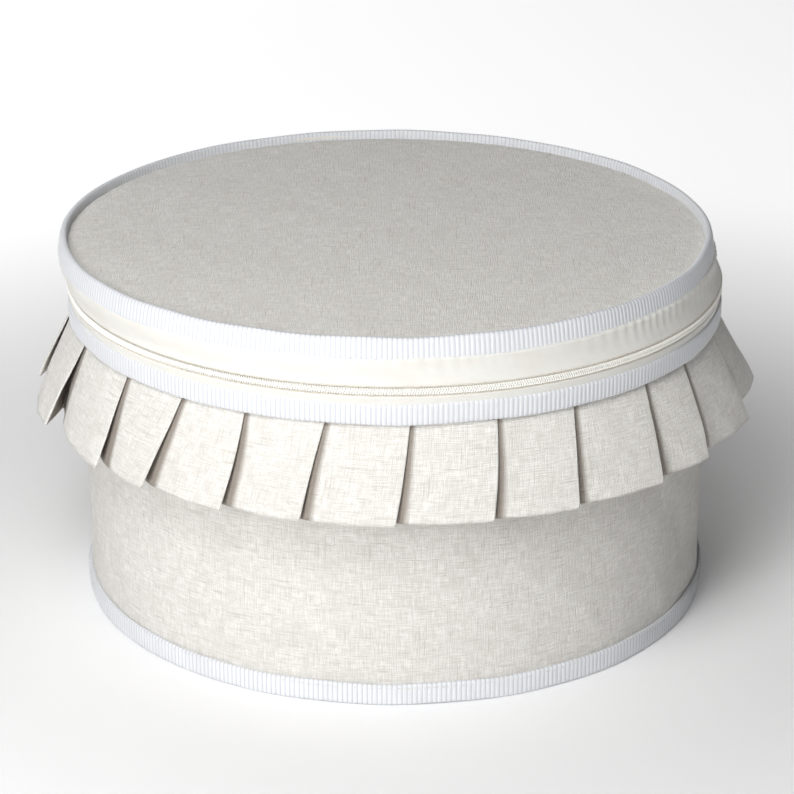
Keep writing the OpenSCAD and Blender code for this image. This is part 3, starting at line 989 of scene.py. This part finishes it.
def flat_tape(name, body, node, path_r, path_z, seed):
    """A cotton tape over an inside seam, following a bent section."""
    thick = 0.55 * MM
    dr, dz = np.gradient(path_r), np.gradient(path_z)
    size = np.hypot(dr, dz)
    side_r, side_z = -dz / size * thick / 2, dr / size * thick / 2
    r = np.concatenate([path_r + side_r, (path_r - side_r)[::-1]])
    z = np.concatenate([path_z + side_z, (path_z - side_z)[::-1]])

    def shape(a, rr, zz):
        drift_r = 0.12 * MM * ripple(a, 0.0, seed, waves=(3, 30))
        drift_z = 0.12 * MM * ripple(a, 0.0, seed + 1, waves=(3, 34))
        return rr + drift_r, zz + drift_z

    obj = ring(name, r, z, columns=420, shape=shape)
    if body == "lid":
        lean_piece(obj)
    finish_piece(obj, body, SEAM_TAPE, "seam_tape", node)


def bend_path(first, corner, last, radius):
    """The r and z of a section path from first to last, rounded at the corner between them."""
    first, corner, last = (np.array(point, float) for point in (first, corner, last))
    start = corner + (first - corner) / np.linalg.norm(first - corner) * radius
    end = corner + (last - corner) / np.linalg.norm(last - corner) * radius
    bend = [start * (1 - s) ** 2 + corner * 2 * s * (1 - s) + end * s ** 2 for s in np.linspace(0, 1, 5)]
    path = np.array([first, *bend, last])
    return path[:, 0], path[:, 1]


LEG = 9 * MM
FLOOR_TAPE_R, FLOOR_TAPE_Z = INNER_R - 0.6 * MM, FLOOR_LINING_Z + 0.5 * MM
RIM_TAPE_R, RIM_TAPE_Z = INNER_R - 0.35 * MM, RIM_TOP_Z - 0.35 * MM
LID_TAPE_R, LID_TAPE_Z = HEADING_R - 0.5 * MM, LID_LINING_Z - 0.45 * MM
flat_tape("floor_seam_tape", "base", "bottom_seam_tape",
          *bend_path((INNER_R - LEG, FLOOR_TAPE_Z), (FLOOR_TAPE_R, FLOOR_TAPE_Z),
                     (FLOOR_TAPE_R, FLOOR_LINING_Z + LEG), 2 * MM), 141)
flat_tape("rim_inner_tape", "base", "rim_seam_tape",
          *bend_path((RIM_TAPE_R, RIM_TOP_Z - LEG), (RIM_TAPE_R, RIM_TAPE_Z),
                     (HEADING_R, RIM_TAPE_Z), 1.6 * MM), 143)
flat_tape("lid_inner_tape", "lid", "lid_seam_tape",
          *bend_path((HEADING_R - LEG, LID_TAPE_Z), (LID_TAPE_R, LID_TAPE_Z),
                     (LID_TAPE_R, LID_LINING_Z - 6 * MM), 1.6 * MM), 147)


# ---------------------------------------------------------------- stitching

FROM_EDGE = 1.2 * MM
for name, r, z in (
    ("bottom_ribbon_stitches", BOTTOM_BINDING_R + 0.05 * MM, BOTTOM_BINDING_H - FROM_EDGE),
    ("rim_tape_stitches", INNER_R - 0.72 * MM, RIM_TOP_Z - LEG + FROM_EDGE),
    ("floor_tape_stitches", INNER_R - 0.95 * MM, FLOOR_LINING_Z + LEG - FROM_EDGE),
):
    finish_piece(stitches(name, r, z), "base", WHITE_THREAD, "seam_tape")


# ---------------------------------------------------------------- boards and metal, as the frame has them

def give_material(node, material):
    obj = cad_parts[node]
    obj.data.materials.clear()
    obj.data.materials.append(material)
    return obj


for node in ("wall_board", "bottom_board"):
    give_material(node, BOARD)

for node in ("slider_body", "slider_bail", "pull_tab", "base_zip_stops", "lid_zip_stops"):
    edge = give_material(node, NICKEL).modifiers.new("Edges", "BEVEL")
    edge.width = 0.22 * MM
    edge.segments = 3
    edge.limit_method = "ANGLE"
    edge.harden_normals = True


# ---------------------------------------------------------------- studio

def white_floor():
    """A white floor, which glows away from the box so that it stays as white as the backdrop."""
    half = 6.0
    corners = np.array([[-half, -half, 0], [half, -half, 0], [half, half, 0], [-half, half, 0]])
    floor = build("floor", corners, [[0, 1, 2, 3]])
    white = (0.90, 0.90, 0.90)
    tree = Tree("floor", white, 0.9)
    place = tree.add("ShaderNodeTexCoord").outputs["Object"]
    cloud = tree.noise(place, 1.5, 3.0)
    tree.feed("Base Color", tree.mix(cloud, white, (0.88, 0.88, 0.885)))
    reach = tree.add("ShaderNodeVectorMath", {0: place}, operation="LENGTH").outputs["Value"]
    glow = tree.step(reach, 0.16, 0.5, 0.08, 0.6)
    tree.set(tree.shader, {"Emission Color": (1, 1, 1, 1), "Emission Strength": glow})
    floor.data.materials.append(tree.material)


def lights():
    """A dim white world and five soft round lamps."""
    world = bpy.data.worlds.new("studio")
    world.use_nodes = True
    world.node_tree.nodes["Background"].inputs["Color"].default_value = (1, 1, 1, 1)
    world.node_tree.nodes["Background"].inputs["Strength"].default_value = 0.01
    bpy.context.scene.world = world

    aim = Vector((0, 0, CASE_H / 2))
    for name, place, size, power in (
        ("key", Vector((-0.50, -1.05, 0.53)), 0.5, 7.0),
        ("fill", Vector((-0.25, -0.6, 0.75)), 0.4, 2.3),
        ("front", Vector((-0.1, -0.75, 0.95)), 0.6, 3.1),
        ("overhead", Vector((-0.1, -0.5, 1.5)), 1.0, 2.5),
        ("back", Vector((-0.5, 1.2, 0.8)), 1.0, 4.2),
    ):
        light = bpy.data.lights.new(name, "AREA")
        light.shape = "DISK"
        light.size = size
        light.energy = power
        lamp = bpy.data.objects.new(name, light)
        lamp.location = place
        lamp.rotation_mode = "QUATERNION"
        lamp.rotation_quaternion = (aim - place).to_track_quat("-Z", "Y")
        bpy.context.scene.collection.objects.link(lamp)


def camera():
    data = bpy.data.cameras.new("camera")
    data.sensor_width = 36.0
    data.lens = 132.6
    cam = bpy.data.objects.new("camera", data)
    elevation = math.radians(22.0)
    distance = 1.078
    aim = Vector((0.8 * MM, 0, CASE_H / 2))
    back = Vector((0, -math.cos(elevation), math.sin(elevation)))
    cam.location = aim + back * distance
    cam.rotation_mode = "QUATERNION"
    cam.rotation_quaternion = (-back).to_track_quat("-Z", "Y")
    bpy.context.scene.collection.objects.link(cam)
    bpy.context.scene.camera = cam


white_floor()
lights()
camera()
bpy.context.scene.view_settings.view_transform = "Standard"
